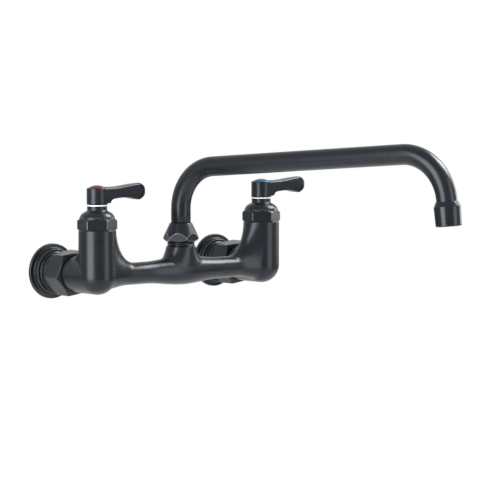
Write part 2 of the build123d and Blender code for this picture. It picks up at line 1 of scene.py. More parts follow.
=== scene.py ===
# %% [markdown]
# # A satin black wall faucet
# The faucet is built around its CAD model: every hidden piece is the CAD piece
# with a better finish, and every piece that shows is modelled again here at the
# same place and size, with the soft blends and eased edges of a cast, turned or
# forged part. Lengths in this file are millimetres until the moment a mesh is
# made, because that is how a faucet is drawn; the scene itself is in metres.

# %% Load the frame
import json
from math import asin, cos, hypot, pi, radians, sin, sqrt, tan

import bmesh
import bpy
from mathutils import Matrix, Vector


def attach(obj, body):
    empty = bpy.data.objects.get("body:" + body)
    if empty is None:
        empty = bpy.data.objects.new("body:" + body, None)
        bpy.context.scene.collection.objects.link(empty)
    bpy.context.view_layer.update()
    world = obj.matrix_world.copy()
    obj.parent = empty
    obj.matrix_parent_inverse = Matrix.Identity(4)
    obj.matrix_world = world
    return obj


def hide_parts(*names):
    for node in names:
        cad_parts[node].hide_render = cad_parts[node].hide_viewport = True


MM = 0.001
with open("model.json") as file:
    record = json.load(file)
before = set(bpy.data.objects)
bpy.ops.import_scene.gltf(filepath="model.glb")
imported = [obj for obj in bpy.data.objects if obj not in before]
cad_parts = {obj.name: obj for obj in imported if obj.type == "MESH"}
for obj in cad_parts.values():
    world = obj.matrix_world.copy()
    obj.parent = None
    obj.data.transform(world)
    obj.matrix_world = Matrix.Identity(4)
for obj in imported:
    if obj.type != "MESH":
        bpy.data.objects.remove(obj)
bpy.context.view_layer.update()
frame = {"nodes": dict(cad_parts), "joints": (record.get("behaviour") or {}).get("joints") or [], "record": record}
joints = {joint["name"]: joint for joint in frame["joints"]}

# %% Setting out
sides = {"hot": -1, "cold": 1}
valve_x = joints["cold_handle_turn"]["pos_m"][0] / MM
valve_y = joints["cold_handle_turn"]["pos_m"][1] / MM
swivel_y = joints["spout_swing"]["pos_m"][1] / MM
print("valve axes at x =", -valve_x, valve_x, "y =", valve_y, "swivel at y =", swivel_y)

# %% [markdown]
# ## The camera
# The picture was taken from far away with a long lens, a little above the faucet
# and well to its left. The camera is a frame of three directions: right, up and
# back, which are the columns of its matrix. Two angles give all three, so they
# stay exactly square to each other.

# %% Camera
camera_place = Vector((-1.41891, -1.85698, 0.19713))
camera_azimuth = radians(-40.2)
camera_elevation = radians(4.46)
camera_lens = 169.25


def new_object(name, data):
    """A new object in the scene that shows a mesh, a lamp or a camera."""
    made = bpy.data.objects.new(name, data)
    bpy.context.scene.collection.objects.link(made)
    return made


back = Vector((sin(camera_azimuth) * cos(camera_elevation),
               -cos(camera_azimuth) * cos(camera_elevation), sin(camera_elevation)))
right = Vector((cos(camera_azimuth), sin(camera_azimuth), 0))
up = back.cross(right)
camera_data = bpy.data.cameras.new("camera")
camera_data.lens = camera_lens
camera_data.sensor_width = 36
camera = new_object("camera", camera_data)
turn = Matrix((right, up, back)).transposed().to_4x4()
camera.matrix_world = Matrix.Translation(camera_place) @ turn
bpy.context.scene.camera = camera
print("camera looks along", tuple(round(c, 3) for c in -back))

# %% [markdown]
# ## Node maths as plain expressions
# Shapes and finishes below are formulas. Written as nodes they would be long
# lists of links, so one small class wraps a node's output: adding, multiplying
# or comparing two of them adds the Math node that does it.

# %% Sockets that do arithmetic
class Number:
    """One number socket of a node tree, which plain arithmetic turns into Math nodes."""

    def __init__(self, tree, socket):
        self.tree = tree
        self.socket = socket

    def math(self, operation, *others):
        return math_node(self.tree, operation, self, *others)

    def flipped(self, operation, other):
        return math_node(self.tree, operation, other, self)

    def __add__(self, other): return self.math("ADD", other)
    def __radd__(self, other): return self.math("ADD", other)
    def __sub__(self, other): return self.math("SUBTRACT", other)
    def __rsub__(self, other): return self.flipped("SUBTRACT", other)
    def __mul__(self, other): return self.math("MULTIPLY", other)
    def __rmul__(self, other): return self.math("MULTIPLY", other)
    def __truediv__(self, other): return self.math("DIVIDE", other)
    def __rtruediv__(self, other): return self.flipped("DIVIDE", other)
    def __neg__(self): return self.math("MULTIPLY", -1.0)
    def __abs__(self): return self.math("ABSOLUTE")
    def least(self, other): return self.math("MINIMUM", other)
    def most(self, other): return self.math("MAXIMUM", other)
    def root(self): return self.math("SQRT")
    def cosine(self): return self.math("COSINE")
    def clamp(self, low, high): return self.most(low).least(high)


def plug(tree, value, place):
    """Links a socket into an input, or sets the input to a plain value."""
    if isinstance(value, Number):
        tree.links.new(value.socket, place)
    elif isinstance(value, bpy.types.NodeSocket):
        tree.links.new(value, place)
    else:
        place.default_value = value


def add_node(tree, kind, settings=None, inputs=None):
    """Adds any node: its settings first, then the values or links of its inputs."""
    node = tree.nodes.new(kind)
    for name, value in (settings or {}).items():
        setattr(node, name, value)
    for name, value in (inputs or {}).items():
        plug(tree, value, node.inputs[name])
    return node


def math_node(tree, operation, *values):
    """What a Math node makes of those values."""
    node = add_node(tree, "ShaderNodeMath", {"operation": operation}, dict(enumerate(values)))
    return Number(tree, node.outputs[0])


print("node helpers ready")


# %% Lengths and directions
def length(*parts):
    """The length of a vector, from its parts."""
    total = parts[0] * parts[0]
    for part in parts[1:]:
        total = total + part * part
    return total.root()


def dot(first, second):
    """How far two directions agree: 1 is the same way, 0 is square."""
    return first[0] * second[0] + first[1] * second[1] + first[2] * second[2]


def away(x, y, z):
    """The unit direction of a vector given by its parts."""
    size = length(x, y, z).most(0.001)
    return x / size, y / size, z / size


def eased_step(share):
    """Zero below 0, one above 1, and a smooth rise between."""
    share = share.clamp(0.0, 1.0)
    return share * share * (3.0 - share * 2.0)


print("vector helpers ready")

# %% [markdown]
# ## Finishes
# The coating is a satin black: almost no colour of its own, a soft broad shine,
# and the very fine orange peel that a sprayed and baked coat has. The peel is a
# bump of about a millimetre's pitch and the shine is a little uneven. A baked
# coat reflects less than a gloss paint, and slightly cooler, so its specular
# level is under half the usual one, with a faint blue tint. On the edges of the
# nuts and flanges a lighter grey is painted in, which stands partly for the coat
# rubbed thin there and partly for a painted highlight along those edges. Painting such lines by
# hand would tie them to one mesh, so the meshes carry numbers that say how far
# each point is from an edge, and the material draws the line from them. The
# pieces inside are brass, steel, rubber, nylon and white ceramic.

# %% Material helpers
def new_material(name):
    """An empty material with its shader, its tree and its object coordinates."""
    material = bpy.data.materials.new(name)
    material.use_nodes = True
    tree = material.node_tree
    shader = tree.nodes["Principled BSDF"]
    place = add_node(tree, "ShaderNodeTexCoord").outputs["Object"]
    return material, tree, shader, place


def noise(tree, place, pitch, detail=2.0, stretch=None):
    """Smooth noise from 0 to 1 whose grain is about that many millimetres."""
    if stretch:
        place = add_node(tree, "ShaderNodeMapping", None,
                         {"Vector": place, "Scale": stretch}).outputs["Vector"]
    node = add_node(tree, "ShaderNodeTexNoise", None,
                    {"Vector": place, "Scale": 1 / (pitch * MM), "Detail": detail,
                     "Roughness": 0.55})
    return Number(tree, node.outputs["Fac"])


def blend_colours(tree, factor, first, second):
    """A colour between two colours."""
    node = add_node(tree, "ShaderNodeMix", {"data_type": "RGBA"},
                    {0: factor, 6: first, 7: second})
    return node.outputs[2]


def uneven(middle, *swings):
    """A number that swings about its middle, from pairs of a noise and its whole swing."""
    total = middle - sum(swing for _, swing in swings) / 2
    for grain, swing in swings:
        total = total + grain * swing
    return total


def add_bump(tree, shader, height, depth):
    """Raises and lowers the surface by that many millimetres."""
    node = add_node(tree, "ShaderNodeBump", None, {"Height": height, "Distance": depth * MM})
    plug(tree, node.outputs["Normal"], shader.inputs["Normal"])


print("material helpers ready")

# %% Satin black coating
coat_dark = (0.0038, 0.0047, 0.0062, 1)
coat_light = (0.0056, 0.0068, 0.0088, 1)
coat_shine = 0.22
coat_tint = (0.86, 0.93, 1.0, 1)
cloud_pitch, peel_pitch, dust_pitch = 9.0, 0.9, 0.35
# a lighter grey painted along edges: partly a rubbed coat, partly a painted highlight
rubbed_and_highlight_grey = (0.13, 0.145, 0.16, 1)
rubbed_gloss = 0.08            # how much less rough a rubbed edge is
rub_and_highlight_least, rub_and_highlight_swing = 0.6, 0.8   # how unevenly the painted line of rubbed coat and highlight is laid on
arch_line = 0.24               # how far the painted line of rubbed coat and highlight spreads from an arch
corner_line = 0.42             # how far that painted line spreads from a corner


def measure(tree, name):
    """A number that a mesh carries at each of its points."""
    node = add_node(tree, "ShaderNodeAttribute", {"attribute_name": name})
    return Number(tree, node.outputs["Fac"])


def satin_black(name="baked_black", roughness=0.285, peel_depth=0.0035, arches=0.0, corners=0.0):
    """The baked black coat, with a lighter line painted by those amounts on marked arches and corners, which
    stands for a rubbed coat and a painted highlight.
    """
    material, tree, shader, place = new_material(name)
    cloud = noise(tree, place, cloud_pitch)
    peel = noise(tree, place, peel_pitch, detail=1.0)
    dust = noise(tree, place, dust_pitch, detail=0.0)
    colour = blend_colours(tree, cloud, coat_dark, coat_light)
    rough = uneven(roughness, (cloud, 0.06), (dust, 0.03))
    if arches or corners:
        arch, corner = measure(tree, "arch"), measure(tree, "corner")
        on_flat = arch.math("GREATER_THAN", 0.0)
        on_arch = (1.0 - abs(arch) / arch_line) * arches
        on_corner = (1.0 - corner / corner_line) * on_flat * corners
        # paints that lighter grey along the marked arches and corners, as a rubbed coat and a painted highlight
        rubbed_and_highlit = on_arch.most(on_corner).clamp(0.0, 1.0) * (cloud * rub_and_highlight_swing + rub_and_highlight_least)
        colour = blend_colours(tree, rubbed_and_highlit.least(1.0), colour, rubbed_and_highlight_grey)
        rough = rough - rubbed_and_highlit * rubbed_gloss
    shader.inputs["Specular IOR Level"].default_value = coat_shine
    shader.inputs["Specular Tint"].default_value = coat_tint
    plug(tree, colour, shader.inputs["Base Color"])
    plug(tree, rough, shader.inputs["Roughness"])
    add_bump(tree, shader, peel + dust * 0.25, peel_depth)
    return material


black = satin_black()
smooth_black = satin_black("smooth_black", roughness=0.22, peel_depth=0.002)
# these three coats carry the painted edge highlights, which also stand for a rubbed coat
almond_black = satin_black("almond_black", arches=1.0, corners=0.9)
corner_black = satin_black("corner_black", arches=0.22, corners=1.0)
faint_black = satin_black("faint_black", arches=0.3, corners=0.2)
coats = (black, smooth_black, almond_black, corner_black, faint_black)
print("finishes:", [coat.name for coat in coats])

# %% Moulded plastics, ceramic and rubber
mottle_pitch = 2.2
grain_pitch, grain_depth = 0.8, 0.006


def moulded(name, dark, light, roughness, shine=0.5):
    """A moulded material with a faint mottle and a soft shine."""
    material, tree, shader, place = new_material(name)
    mottle = noise(tree, place, mottle_pitch)
    shader.inputs["Specular IOR Level"].default_value = shine
    plug(tree, blend_colours(tree, mottle, dark, light), shader.inputs["Base Color"])
    plug(tree, uneven(roughness, (mottle, 0.06)), shader.inputs["Roughness"])
    add_bump(tree, shader, noise(tree, place, grain_pitch), grain_depth)
    return material


hot_red = moulded("hot_red", (0.055, 0.006, 0.008, 1), (0.080, 0.009, 0.012, 1), 0.34, 0.22)
cold_blue = moulded("cold_blue", (0.005, 0.045, 0.092, 1), (0.008, 0.070, 0.140, 1), 0.34, 0.22)
nylon = moulded("natural_nylon", (0.74, 0.74, 0.71, 1), (0.84, 0.84, 0.81, 1), 0.45)
ceramic = moulded("lapped_ceramic", (0.80, 0.78, 0.73, 1), (0.86, 0.84, 0.80, 1), 0.2)
rubber = moulded("seal_rubber", (0.012, 0.012, 0.012, 1), (0.022, 0.022, 0.022, 1), 0.7)
print("finishes:", [finish.name for finish in (hot_red, cold_blue, nylon, ceramic, rubber)])

# %% Turned metals
ring_pitch, ring_depth = 0.25, 0.008
ring_stretch = (0.15, 0.15, 1.0)   # wide across the axis, so that the grain becomes rings
stain_pitch = 6.0


def turned_metal(name, dark, light, roughness):
    """A machined metal with the fine rings that a cutting tool leaves."""
    material, tree, shader, place = new_material(name)
    rings = noise(tree, place, ring_pitch, detail=1.0, stretch=ring_stretch)
    stain = noise(tree, place, stain_pitch)
    shader.inputs["Metallic"].default_value = 1.0
    plug(tree, blend_colours(tree, stain, dark, light), shader.inputs["Base Color"])
    plug(tree, uneven(roughness, (rings, 0.1)), shader.inputs["Roughness"])
    add_bump(tree, shader, rings, ring_depth)
    return material


brass = turned_metal("machined_brass", (0.60, 0.42, 0.18, 1), (0.74, 0.56, 0.29, 1), 0.3)
steel = turned_metal("stainless_steel", (0.50, 0.50, 0.50, 1), (0.62, 0.62, 0.61, 1), 0.28)
print("finishes:", brass.name, steel.name)

# %% [markdown]
# ## From a formula to a mesh
# A casting has no sharp inside corners: where two round bars meet, the pattern
# maker leaves a generous blend. Booleans and bevels break down on such blends,
# but a distance formula says them directly. Each bar is "how far am I from its
# surface", and a blend is the surface of a ball that rolls in the corner and
# touches both. Geometry Nodes fill a box of small cells with the formula, lay a
# mesh where it is zero, and then pull each point onto the exact surface, so that
# the mesh shows no cells.

# %% Blends of two distances
opposed, alongside = -0.9, 0.97   # limits of how far two surfaces' directions agree


def filleted(first, first_way, second, second_way, radius):
    """Two solids as one, with the blend that a ball of that radius rolls between them.

    Each solid is its distance and the direction that leads away from it. Where
    the two surfaces run alongside each other the ball finds no corner, and the
    solids meet as they are.
    """
    agree = dot(first_way, second_way).clamp(opposed, alongside)
    a, b = radius - first, radius - second
    in_corner = ((a - agree * b).math("GREATER_THAN", 0.0)
                 * (b - agree * a).math("GREATER_THAN", 0.0))
    square = (a * a + b * b - agree * a * b * 2.0) / (1.0 - agree * agree)
    ball = radius - square.most(0.0).root()
    plain = first.least(second)
    return plain + in_corner * (ball - plain)


def eased(first, second, radius):
    """What two solids share, with its outer edge rounded to that radius."""
    corner = length((first + radius).most(0.0), (second + radius).most(0.0))
    return first.most(second).least(-radius) + corner


print("a blend takes surfaces that agree from", opposed, "to", alongside)


# %% A formula as a group of nodes
def formula_group(name, formula):
    """A reusable node group that takes X, Y and Z in millimetres and gives the formula."""
    group = bpy.data.node_groups.new(name + "_formula", "GeometryNodeTree")
    for axis in "XYZ":
        group.interface.new_socket(axis, in_out="INPUT", socket_type="NodeSocketFloat")
    group.interface.new_socket("Distance", in_out="OUTPUT", socket_type="NodeSocketFloat")
    inputs = add_node(group, "NodeGroupInput").outputs
    distance = formula(*[Number(group, inputs[axis]) for axis in "XYZ"])
    plug(group, distance, add_node(group, "NodeGroupOutput").inputs["Distance"])
    print(name, "formula:", len(group.nodes), "nodes")
    return group


def distance_here(tree, group, offset=(0, 0, 0)):
    """The formula at each point, or at a place a little beside it."""
    position = add_node(tree, "GeometryNodeInputPosition").outputs[0]
    parts = add_node(tree, "ShaderNodeSeparateXYZ", None, {0: position}).outputs
    place = {axis: Number(tree, parts[i]) / MM + offset[i] for i, axis in enumerate("XYZ")}
    node = add_node(tree, "GeometryNodeGroup", {"node_tree": group}, place)
    return Number(tree, node.outputs["Distance"])


# %% Keeping what modifiers show
def keep_result(piece):
    """Makes what the piece's modifiers show its own mesh, and removes them."""
    bpy.context.view_layer.update()
    evaluated = piece.evaluated_get(bpy.context.evaluated_depsgraph_get())
    mesh = bpy.data.meshes.new_from_object(evaluated)
    mesh.name = piece.name
    piece.modifiers.clear()
    piece.data = mesh
    print(piece.name, len(mesh.polygons), "faces")


def baked(name, tree, values):
    """Runs a Geometry Nodes tree with its inputs set, and keeps its result as a mesh."""
    piece = new_object(name, bpy.data.meshes.new(name + "_start"))
    modifier = piece.modifiers.new("shape", "NODES")
    modifier.node_group = tree
    for item in tree.interface.items_tree:
        if item.in_out == "INPUT" and item.name in values:
            modifier[item.identifier] = values[item.name]
    keep_result(piece)
    return piece


# %% A mesh from a formula
def pull_onto(tree, geometry, group, probe=0.02, longest=0.8):
    """Moves each point along the formula's slope onto the place where it is zero."""
    here = distance_here(tree, group)
    slopes = []
    for axis in range(3):
        offset = [probe if i == axis else 0 for i in range(3)]
        slopes.append((distance_here(tree, group, offset) - here) / probe)
    steep = dot(slopes, slopes)
    step = ((here * -MM) / steep.most(0.05)).clamp(-longest * MM, longest * MM)
    move = add_node(tree, "ShaderNodeCombineXYZ", None, {i: slopes[i] * step for i in range(3)})
    moved = add_node(tree, "GeometryNodeSetPosition", None,
                     {"Geometry": geometry, "Offset": move.outputs[0]})
    return moved.outputs[0]


def formula_piece(name, formula, low, high, cell, material, pulls=3):
    """A smooth closed mesh of the place where a formula of x, y and z is under zero."""
    group = formula_group(name, formula)
    tree = bpy.data.node_groups.new(name, "GeometryNodeTree")
    tree.interface.new_socket("Cell", in_out="INPUT", socket_type="NodeSocketFloat")
    tree.interface.new_socket("Geometry", in_out="OUTPUT", socket_type="NodeSocketGeometry")
    size = Number(tree, add_node(tree, "NodeGroupInput").outputs["Cell"])
    box = {"Density": -distance_here(tree, group), "Background": -1.0,
           "Min": [c * MM for c in low], "Max": [c * MM for c in high]}
    for i, axis in enumerate("XYZ"):
        box[f"Resolution {axis}"] = (high[i] - low[i]) / size
    cube = add_node(tree, "GeometryNodeVolumeCube", None, box)
    surface = add_node(tree, "GeometryNodeVolumeToMesh", None,
                       {"Volume": cube.outputs[0], "Threshold": 0.0}).outputs[0]
    for _ in range(pulls):
        surface = pull_onto(tree, surface, group)
    shaded = add_node(tree, "GeometryNodeSetShadeSmooth", None, {0: surface}).outputs[0]
    real = add_node(tree, "GeometryNodeRealizeInstances", None, {0: shaded}).outputs[0]
    coated = add_node(tree, "GeometryNodeSetMaterial", None,
                      {"Geometry": real, "Material": material}).outputs[0]
    plug(tree, coated, add_node(tree, "NodeGroupOutput").inputs[0])
    return baked(name, tree, {"Cell": float(cell)})


# %% [markdown]
# ## Turned pieces
# Nuts, flanges, washers and buttons come off a lathe, so each is an outline of
# radius and height, turned about an axis. A lathe operator breaks every edge; the
# outline's corners are replaced by small arcs before it is turned, and those arcs
# are what catches the light along an edge. Easing the outline is surer than a
# bevel on the finished mesh, because every edge keeps the radius it was given.

# %% Outlines with eased corners
nearly_straight = pi - 0.02


def arc_corner(before, corner, after, radius, steps=5, most=0.48):
    """The points of a tangent arc that replaces a corner of a line.

    The arc takes up no more than that share of either side.
    """
    to_before, to_after = Vector(before) - Vector(corner), Vector(after) - Vector(corner)
    angle = to_before.angle(to_after)
    if radius <= 0 or angle > nearly_straight:
        return [tuple(corner)]
    reach = min(radius / tan(angle / 2), most * to_before.length, most * to_after.length)
    start = Vector(corner) + to_before.normalized() * reach
    end = Vector(corner) + to_after.normalized() * reach
    true_radius = reach * tan(angle / 2)
    bisector = (to_before.normalized() + to_after.normalized()).normalized()
    centre = Vector(corner) + bisector * (true_radius / sin(angle / 2))
    first, last = start - centre, end - centre
    sweep = first.angle(last)
    points = []
    for step in range(steps + 1):
        share = step / steps
        spoke = (first * sin((1 - share) * sweep) + last * sin(share * sweep)) / sin(sweep)
        points.append(tuple(centre + spoke))
    return points


def eased_outline(points, radius):
    """A closed outline whose corners are arcs; a point's third value is its own radius."""
    result = []
    for index, point in enumerate(points):
        own = point[2] if len(point) > 2 else radius
        before, after = points[index - 1][:2], points[(index + 1) % len(points)][:2]
        result += arc_corner(before, point[:2], after, own)
    return result


def curve_points(start, control, end, steps):
    """Points of a smooth bend from start to end, drawn towards a control point."""
    points = []
    for step in range(steps + 1):
        t = step / steps
        points.append(tuple(Vector(start) * (1 - t) ** 2 + Vector(control) * 2 * t * (1 - t)
                            + Vector(end) * t * t))
    return points


def dense(outline, spacing):
    """The same closed outline with points no further apart than about the spacing."""
    result = []
    for index, point in enumerate(outline):
        after = outline[(index + 1) % len(outline)]
        parts = max(1, int(hypot(after[0] - point[0], after[1] - point[1]) / spacing))
        for part in range(parts):
            share = part / parts
            result.append((point[0] + (after[0] - point[0]) * share,
                           point[1] + (after[1] - point[1]) * share))
    return result


print("a square corner becomes", len(arc_corner((1, 0), (0, 0), (0, 1), 0.2)), "points")

# %% A mesh from points
join_distance = 0.001 * MM


def mesh_piece(name, vertices, faces, material, place=None, marks=None):
    """A new object from points in millimetres, put in place, with normals outwards."""
    mesh = bpy.data.meshes.new(name)
    mesh.from_pydata([tuple(c * MM for c in v) for v in vertices], [], faces)
    for mark, values in (marks or {}).items():
        mesh.attributes.new(mark, "FLOAT", "POINT").data.foreach_set("value", values)
    if place is not None:
        mesh.transform(place)
    work = bmesh.new()
    work.from_mesh(mesh)
    bmesh.ops.remove_doubles(work, verts=work.verts, dist=join_distance)
    bmesh.ops.dissolve_degenerate(work, edges=work.edges, dist=join_distance)
    bmesh.ops.recalc_face_normals(work, faces=work.faces)
    work.to_mesh(mesh)
    work.free()
    mesh.shade_smooth()
    mesh.materials.append(material)
    print(name, len(mesh.polygons), "faces")
    return new_object(name, mesh)


# %% Lathe
def lathe(name, outline, material, place=None, steps=144, radius_at=None, marks_at=None,
          turned_by=0.0):
    """Turns a closed outline about Z.

    radius_at may trim the radius at each angle, and marks_at says how far a point
    is from an arch and from a corner.
    """
    vertices, faces = [], []
    marks = {"arch": [], "corner": []}
    count = len(outline)
    for step in range(steps):
        angle = 2 * pi * step / steps + radians(turned_by)
        for radius, height in outline:
            r = radius_at(radius, angle) if radius_at else radius
            vertices.append((r * cos(angle), r * sin(angle), height))
            if marks_at:
                arch, corner = marks_at(radius, height, angle)
                marks["arch"].append(arch)
                marks["corner"].append(corner)
    for step in range(steps):
        nearer, further = step * count, (step + 1) % steps * count
        for index in range(count):
            after = (index + 1) % count
            faces.append((nearer + index, further + index, further + after, nearer + after))
    return mesh_piece(name, vertices, faces, material, place, marks if marks_at else None)


# %% Where pieces go
def at_valve(side):
    """The place of a valve: -1 is hot, +1 is cold."""
    return Matrix.Translation((side * valve_x * MM, valve_y * MM, 0))


def at_inlet(side):
    """A valve's place turned so that Z runs to the wall."""
    return at_valve(side) @ Matrix.Rotation(-pi / 2, 4, "X")


at_swivel = Matrix.Translation((0, swivel_y * MM, 0))
print("swivel at", tuple(round(c, 4) for c in at_swivel.translation))

# %% [markdown]
# ## The casting
# One bronze casting carries everything: two risers with round elbows, a crossbar
# with a soft belly, a tapering boss for the spout and two stubs to the wall. It
# could be sculpted, but a formula of a few round bars keeps every axis true. The
# blends are taller than they are wide, which the formula gets by measuring the
# bar and the stub as nearer than they are on their upper sides, and each blend
# fades out on the far side of the riser, where there is nothing to join.

# %% Casting sizes
riser_radius = 17.8
riser_height = 44.0
riser_edge = 0.8
bar_radius = 10.55
belly_swell = 3.35
belly_half_length = 46.0
boss_radius = 14.4
boss_taper = 0.45              # how much wider the boss gets towards its root
boss_flare = 0.8               # how much wider again close to the root
boss_height = 23.3
stub_length = 32.0
stub_thread_radius = 15.0
stub_thread_length = 13.0
swivel_setback = swivel_y - valve_y

bar_blend = 25.0
bar_blend_rise = 1.7           # how much taller than wide the blend is on top
inward_fade = 0.08             # how fast it comes in, from the riser's axis inwards
stub_blend = 10.0
stub_blend_rise = 2.6
boss_blend = 3.0
least_blend = 0.1
print("crossbar at its belly:", round(2 * (bar_radius + belly_swell), 1), "mm thick")


# %% The casting's formula
def casting(x, y, z):
    """How far a point is outside the rough casting."""
    out, deep = abs(x), y - valve_y
    side = out - valve_x
    riser = length(side, deep, z.least(0.0)) - riser_radius
    riser_way = away(side, deep, z.least(0.0))
    swell = ((out * (pi / belly_half_length)).least(pi).cosine() + 1.0) * (belly_swell / 2)
    bar = (length(deep, z) - swell - bar_radius).most(side)
    bar_way = away(out * 0.0, deep, z)
    above = bar_way[2].most(0.0)
    taller = above * above * (bar_blend_rise - 1.0) + 1.0
    inward = eased_step(side * -inward_fade)
    body = filleted(riser, riser_way, bar / taller, bar_way, inward * bar_blend + least_blend)
    stub = length(side, z, deep.least(0.0)) - riser_radius
    stub_way = away(side, deep.least(0.0), z)
    above = stub_way[2].most(0.0)
    taller = above * above * (stub_blend_rise - 1.0) + 1.0
    behind = eased_step(deep / riser_radius)
    body = filleted(body, riser_way, stub / taller, stub_way, behind * stub_blend + least_blend)
    depth = (1.0 - z / boss_height).clamp(0.0, 1.0)
    narrowed = out / (depth * depth * boss_flare + depth * boss_taper + 1.0)
    boss = length(narrowed, deep - swivel_setback) - boss_radius
    boss_way = away(narrowed, deep - swivel_setback, z * 0.0)
    return filleted(boss.most(-z), boss_way, body, bar_way, boss_blend)


stub_end = stub_length + stub_thread_length
round_margin = 20.0            # from an axis to the side of the box of cells
end_margin = 3.0               # from a cut end to the side of that box
casting_low = (-valve_x - round_margin, valve_y - round_margin, -round_margin)
casting_high = (valve_x + round_margin, valve_y + stub_end + end_margin,
                riser_height + end_margin)
casting_cell = 0.8
body = formula_piece("faucet_body", casting, casting_low, casting_high, casting_cell, black)


# %% Machining the casting
def machine(piece, cutters):
    """Cuts solids away from a piece and keeps the result as its mesh."""
    for cutter in cutters:
        modifier = piece.modifiers.new("cut", "BOOLEAN")
        modifier.operation = "DIFFERENCE"
        modifier.solver = "EXACT"
        modifier.object = cutter
    keep_result(piece)
    for cutter in cutters:
        bpy.data.objects.remove(cutter)


far = 30.0                     # a radius outside all that a cutter trims
over_top = riser_height + 20
over_stub = stub_end + 10
chamfer_foot = riser_height - riser_edge - 1
thread_bore = 12.5
thread_floor = riser_height - 9
stub_bore = 7.5
stub_bore_start = stub_end - 10
shoulder_foot = stub_length + 1.6
top_cut = [(0, thread_floor), (thread_bore, thread_floor), (thread_bore, riser_height),
           (riser_radius - riser_edge, riser_height), (riser_radius + 1, chamfer_foot),
           (far, chamfer_foot), (far, over_top), (0, over_top)]
stub_cut = [(0, stub_bore_start), (stub_bore, stub_bore_start), (stub_bore, stub_end),
            (stub_thread_radius, stub_end), (stub_thread_radius, stub_length),
            (riser_radius - 0.6, stub_length), (riser_radius + 1, shoulder_foot),
            (far, shoulder_foot), (far, over_stub), (0, over_stub)]
boss_cut = [(0, boss_height), (far, boss_height), (far, over_top), (0, over_top)]
cutters = []
for water, side in sides.items():
    cutters.append(lathe(f"{water}_top_cutter", top_cut, black, at_valve(side)))
    cutters.append(lathe(f"{water}_stub_cutter", stub_cut, black, at_inlet(side)))
cutters.append(lathe("boss_cutter", boss_cut, black, at_swivel))
machine(body, cutters)

# %% [markdown]
# ## The thread under the spout nut
# The neck's last two crests are bare between the boss and the nut. A real thread
# is a helix, but with two crests in sight plain rings look the same and close
# cleanly. They are soft, because the coating fills the roots.

# %% Spout neck
neck_radius = 13.2
neck_height = 33.0
neck_foot = boss_height - 3
crest_rise = 0.75
crest_pitch = 2.35
first_crest = 24.3
root_arc, crest_arc = 0.7, 0.9
socket_radius = 10.35
root_radius = neck_radius - crest_rise
neck_outline = [(socket_radius, neck_foot), (root_radius, neck_foot)]
for turn_number in range(2):
    middle = first_crest + turn_number * crest_pitch
    neck_outline += [(root_radius, middle - crest_pitch / 2, root_arc),
                     (neck_radius + crest_rise, middle, crest_arc)]
neck_outline += [(root_radius, first_crest + 1.5 * crest_pitch, root_arc),
                 (neck_radius, first_crest + 1.8 * crest_pitch), (neck_radius, neck_height),
                 (socket_radius, neck_height)]
neck = lathe("neck_thread", eased_outline(neck_outline, radius=0.2), black, at_swivel)

# %% [markdown]
# ## Nuts
# A nut is turned and then milled: the lathe leaves cones and domes, the mill cuts
# six flats, and where a flat meets a cone the edge is an arch. Booleans would
# leave those arches hard. The lathe rule here does the milling too, by trimming
# each radius to the hexagon at that angle, and it marks how far each point is
# from an arch and a corner, where the coat paints a lighter line that stands for
# a rubbed coat and a painted highlight. The spout nut is a cone above and below
# its widest line, so its flats are almond shapes.

# %% Milling and marking
nut_steps = 360
no_line = 9.0                  # a distance too far from an arch for a rubbed line
least_cosine = 0.3             # keeps a flat that faces away from running off


def soft_least(first, second, reach):
    """The smaller of two numbers, with the change from one to the other rounded."""
    overlap = max(reach - abs(first - second), 0) / reach
    return min(first, second) - overlap * overlap * reach / 4


def hexagon(across_flats, turned_by, softness, inner):
    """Two rules for a nut: how flats trim a radius, and how far a point is from an edge."""
    def past_corner(angle):
        return (angle - radians(turned_by)) % (pi / 3)

    def flat_radius(from_middle):
        return across_flats / 2 / max(cos(from_middle), least_cosine)

    def trim(radius, angle):
        if radius <= inner:
            return radius
        turned = past_corner(angle)
        here, before, after = [flat_radius(turned - middle)
                               for middle in (pi / 6, -pi / 6, pi / 2)]
        flat = soft_least(here, soft_least(before, after, softness), softness)
        return soft_least(radius, flat, softness)

    def marks(radius, height, angle):
        turned = past_corner(angle)
        beside = min(turned, pi / 3 - turned) * across_flats / 2
        if radius <= inner:
            return -no_line, beside
        return radius - flat_radius(turned - pi / 6), beside
    return trim, marks


def ring_marks(*edges):
    """The marks of a turned piece with lighter rings painted at those radii and heights, for a rubbed coat and a
    painted highlight.
    """
    def marks(radius, height, angle):
        return no_line, min(hypot(radius - r, height - z) for r, z in edges)
    return marks


def nut(name, outline, coat, across_flats, turned_by, softness, inner, place):
    """A turned outline with six flats outside its inner radius, and its edges marked."""
    trim, marks = hexagon(across_flats, turned_by, softness, inner)
    return lathe(name, outline, coat, place, nut_steps, trim, marks, turned_by)


# %% Bonnet nuts
bonnet_across_flats = 33.0
bonnet_turn = 23.2
bonnet_softness = 0.4
bonnet_thread = 12.3
bonnet_thread_start = 34.3
housing_bore = 9.7
housing_top = 51.7
stem_way = 7.2
hex_height = 9.0
dome_foot = 17.0
dome_shoulder = (16.6, 58.9)
collar_radius = 9.5
collar_bottom = 61.6
collar_top = 66.4
corner_radius = bonnet_across_flats / sqrt(3)
hex_top = riser_height + hex_height
dome = curve_points((dome_foot, hex_top + 0.7), dome_shoulder,
                    (collar_radius + 0.5, collar_bottom), 16)
bonnet_outline = [(housing_bore, bonnet_thread_start), (bonnet_thread, bonnet_thread_start),
                  (bonnet_thread, riser_height, 0), (corner_radius - 1.0, riser_height),
                  (corner_radius, riser_height + 0.8), (corner_radius, hex_top - 0.7, 0.3),
                  (dome_foot + 0.6, hex_top + 0.7, 0.25)]
bonnet_outline += [(r, z, 0) for r, z in dome]
